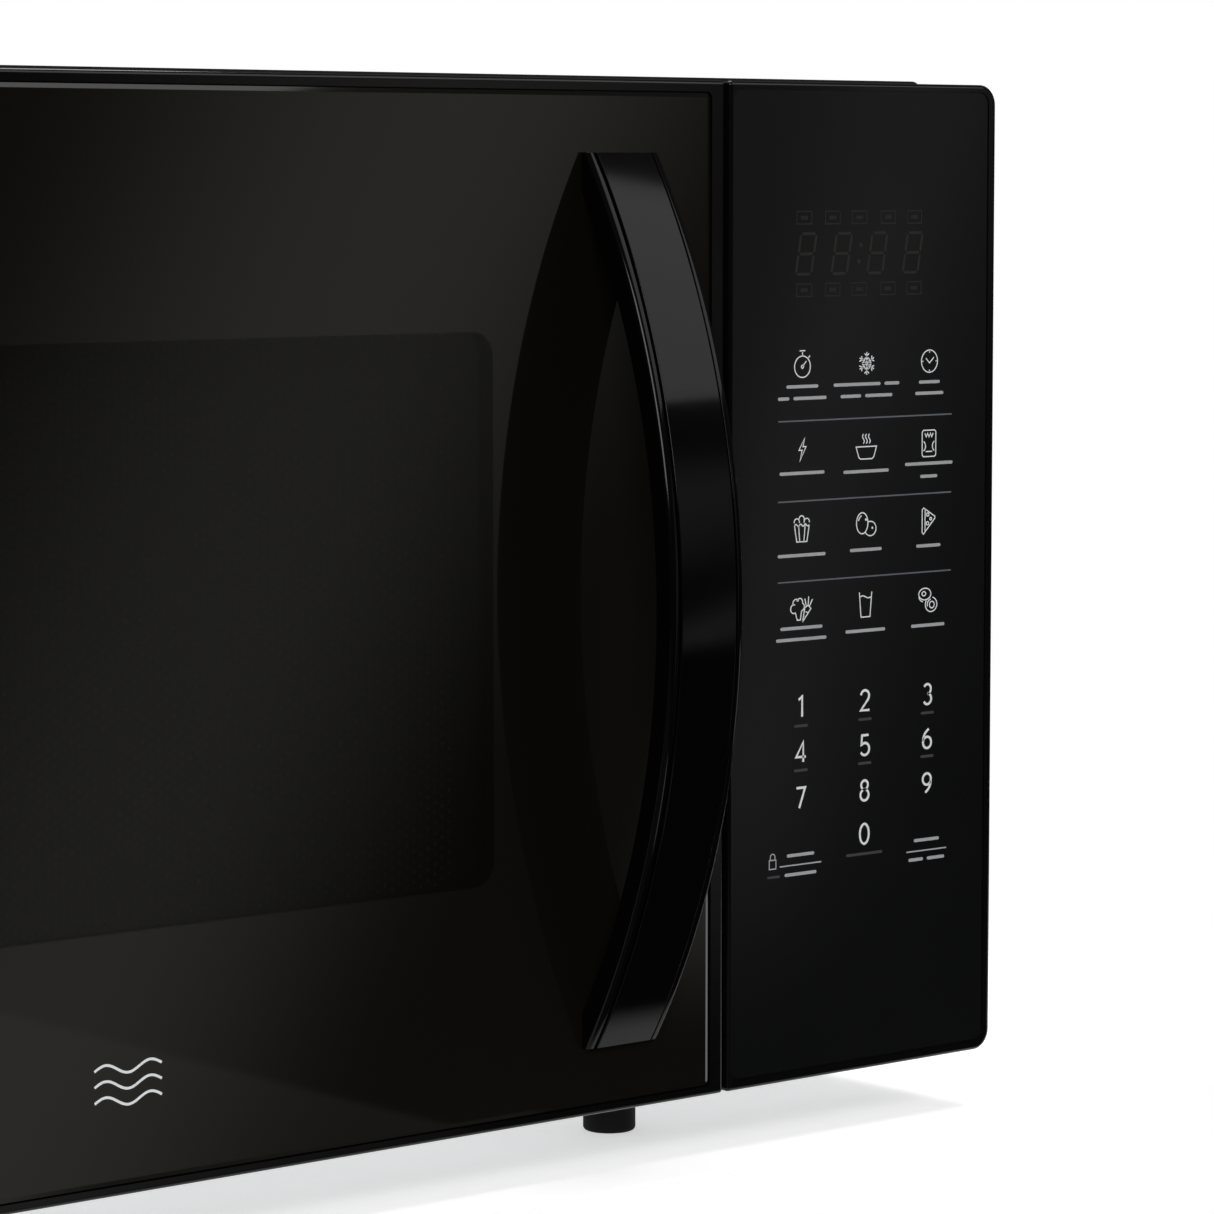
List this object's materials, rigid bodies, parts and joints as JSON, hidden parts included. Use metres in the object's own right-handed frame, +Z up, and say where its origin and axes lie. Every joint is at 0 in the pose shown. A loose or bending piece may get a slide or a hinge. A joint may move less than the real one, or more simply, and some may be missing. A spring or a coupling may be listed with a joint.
{
  "type": "microwave oven",
  "caption": "Countertop microwave oven with grill: side-hinged glass door with a bow handle, flat touch panel, turntable inside.",
  "frame": {"origin": "floor level, under the middle of the overall bounding box, handle and rear spacers included", "axes": "+X to the right seen from the front, +Y to the back, +Z up"},
  "size_m": [0.52, 0.445, 0.3085],
  "materials": {
    "gloss_black": "glossy black moulding",
    "tinted_glass": "dark tinted, black printed border with a see-through window",
    "touch_face": "satin dark overlay",
    "cabinet_paint": "fine textured black powder coat",
    "galvanised": "galvanised steel sheet",
    "cavity_enamel": "light grey enamel",
    "screen_steel": "black perforated steel",
    "satin_steel": "plated steel",
    "heater_sheath": "oxidised heater sheath",
    "copper": "enamelled copper wire",
    "laminated_iron": "varnished laminations",
    "aluminium_fin": "thin fins",
    "clear_glass": "clear",
    "clear_film": "clear film",
    "dark_plastic": "matt black moulding",
    "pale_plastic": "off-white moulding",
    "circuit_board": "brown laminate with green mask",
    "mica": "pressed mica sheet",
    "rubber_black": "matt",
    "ceramic_white": "glazed"
  },
  "bodies": {
    "oven": {"base_plate": "galvanised", "feet": "rubber_black", "foot_screws": "satin_steel", "cabinet": "cabinet_paint", "rear_panel": "galvanised", "cabinet_screws": "satin_steel", "rear_spacers": "dark_plastic", "cord_gland": "dark_plastic", "oven_cavity": "cavity_enamel", "waveguide": "galvanised", "waveguide_cover": "mica", "magnetron_yoke": "galvanised", "magnetron_anode": "satin_steel", "magnetron_fins": "aluminium_fin", "magnetron_filter_box": "galvanised", "transformer_core": "laminated_iron", "transformer_windings": "copper", "capacitor": "aluminium_fin", "capacitor_clamp": "galvanised", "hv_diode": "dark_plastic", "fan_shroud": "pale_plastic", "fan_motor": "laminated_iron", "air_duct": "pale_plastic", "lamp_holder": "pale_plastic", "lamp_bulb": "clear_glass", "turntable_motor": "satin_steel", "grill_element": "heater_sheath", "grill_supports": "ceramic_white", "latch_bracket": "pale_plastic", "door_switches": "dark_plastic", "control_housing": "gloss_black", "control_face": "touch_face", "control_board": "circuit_board", "display_module": "dark_plastic", "control_relays": "dark_plastic", "filter_board": "circuit_board", "fuse": "clear_glass", "thermal_cutouts": "satin_steel", "hinge_upper": "satin_steel", "hinge_lower": "satin_steel"},
    "door": {"door_frame": "gloss_black", "door_glass": "tinted_glass", "door_panel": "screen_steel", "door_screen": "screen_steel", "choke_cover": "dark_plastic", "screen_film": "clear_film", "handle": "gloss_black", "handle_cover": "gloss_black", "handle_screws": "satin_steel"},
    "latch": {"latch_plate": "pale_plastic", "latch_spring": "satin_steel"},
    "coupler": {"turntable_shaft": "satin_steel", "coupler": "pale_plastic"},
    "tray": {"glass_tray": "clear_glass"},
    "ring": {"roller_ring": "pale_plastic"},
    "roller_one": {"roller_1": "pale_plastic"},
    "roller_two": {"roller_2": "pale_plastic"},
    "roller_three": {"roller_3": "pale_plastic"},
    "fan": {"fan_shaft": "satin_steel", "fan_blade": "pale_plastic"}
  },
  "joints": [
    {"name": "door_hinge", "type": "hinge", "parent": "oven", "child": "door", "pos_m": [-0.252, -0.1666, 0.162], "axis": [0, 0, -1], "range_deg": [0, 110]},
    {"name": "latch_lift", "type": "slide", "parent": "door", "child": "latch", "axis": [0, 0, 1], "range_m": [0, 0.005], "stiffness_N_per_m": 600, "springref_m": -0.004, "deforming": ["latch_spring"]},
    {"name": "coupler_spin", "type": "hinge", "parent": "oven", "child": "coupler", "pos_m": [-0.064, 0.0235, 0.04], "axis": [0, 0, 1], "continuous": true},
    {"name": "tray_lift", "type": "slide", "parent": "coupler", "child": "tray", "axis": [0, 0, 1], "range_m": [0, 0.12]},
    {"name": "ring_spin", "type": "hinge", "parent": "oven", "child": "ring", "pos_m": [-0.064, 0.0235, 0.0556], "axis": [0, 0, 1], "continuous": true},
    {"name": "roller_one_spin", "type": "hinge", "parent": "ring", "child": "roller_one", "pos_m": [0.038, 0.0235, 0.0556], "axis": [1, 0, 0], "continuous": true},
    {"name": "roller_two_spin", "type": "hinge", "parent": "ring", "child": "roller_two", "pos_m": [-0.115, 0.11184, 0.0556], "axis": [-0.5, 0.866, 0], "continuous": true},
    {"name": "roller_three_spin", "type": "hinge", "parent": "ring", "child": "roller_three", "pos_m": [-0.115, -0.06484, 0.0556], "axis": [-0.5, -0.866, 0], "continuous": true},
    {"name": "fan_spin", "type": "hinge", "parent": "oven", "child": "fan", "pos_m": [0.182, 0.176, 0.19], "axis": [0, 1, 0], "continuous": true}
  ],
  "couplings": [
    {"joint": "ring_spin", "follows": "coupler_spin", "ratio": 0.5},
    {"joint": "roller_one_spin", "follows": "coupler_spin", "ratio": -6},
    {"joint": "roller_two_spin", "follows": "coupler_spin", "ratio": -6},
    {"joint": "roller_three_spin", "follows": "coupler_spin", "ratio": -6}
  ]
}
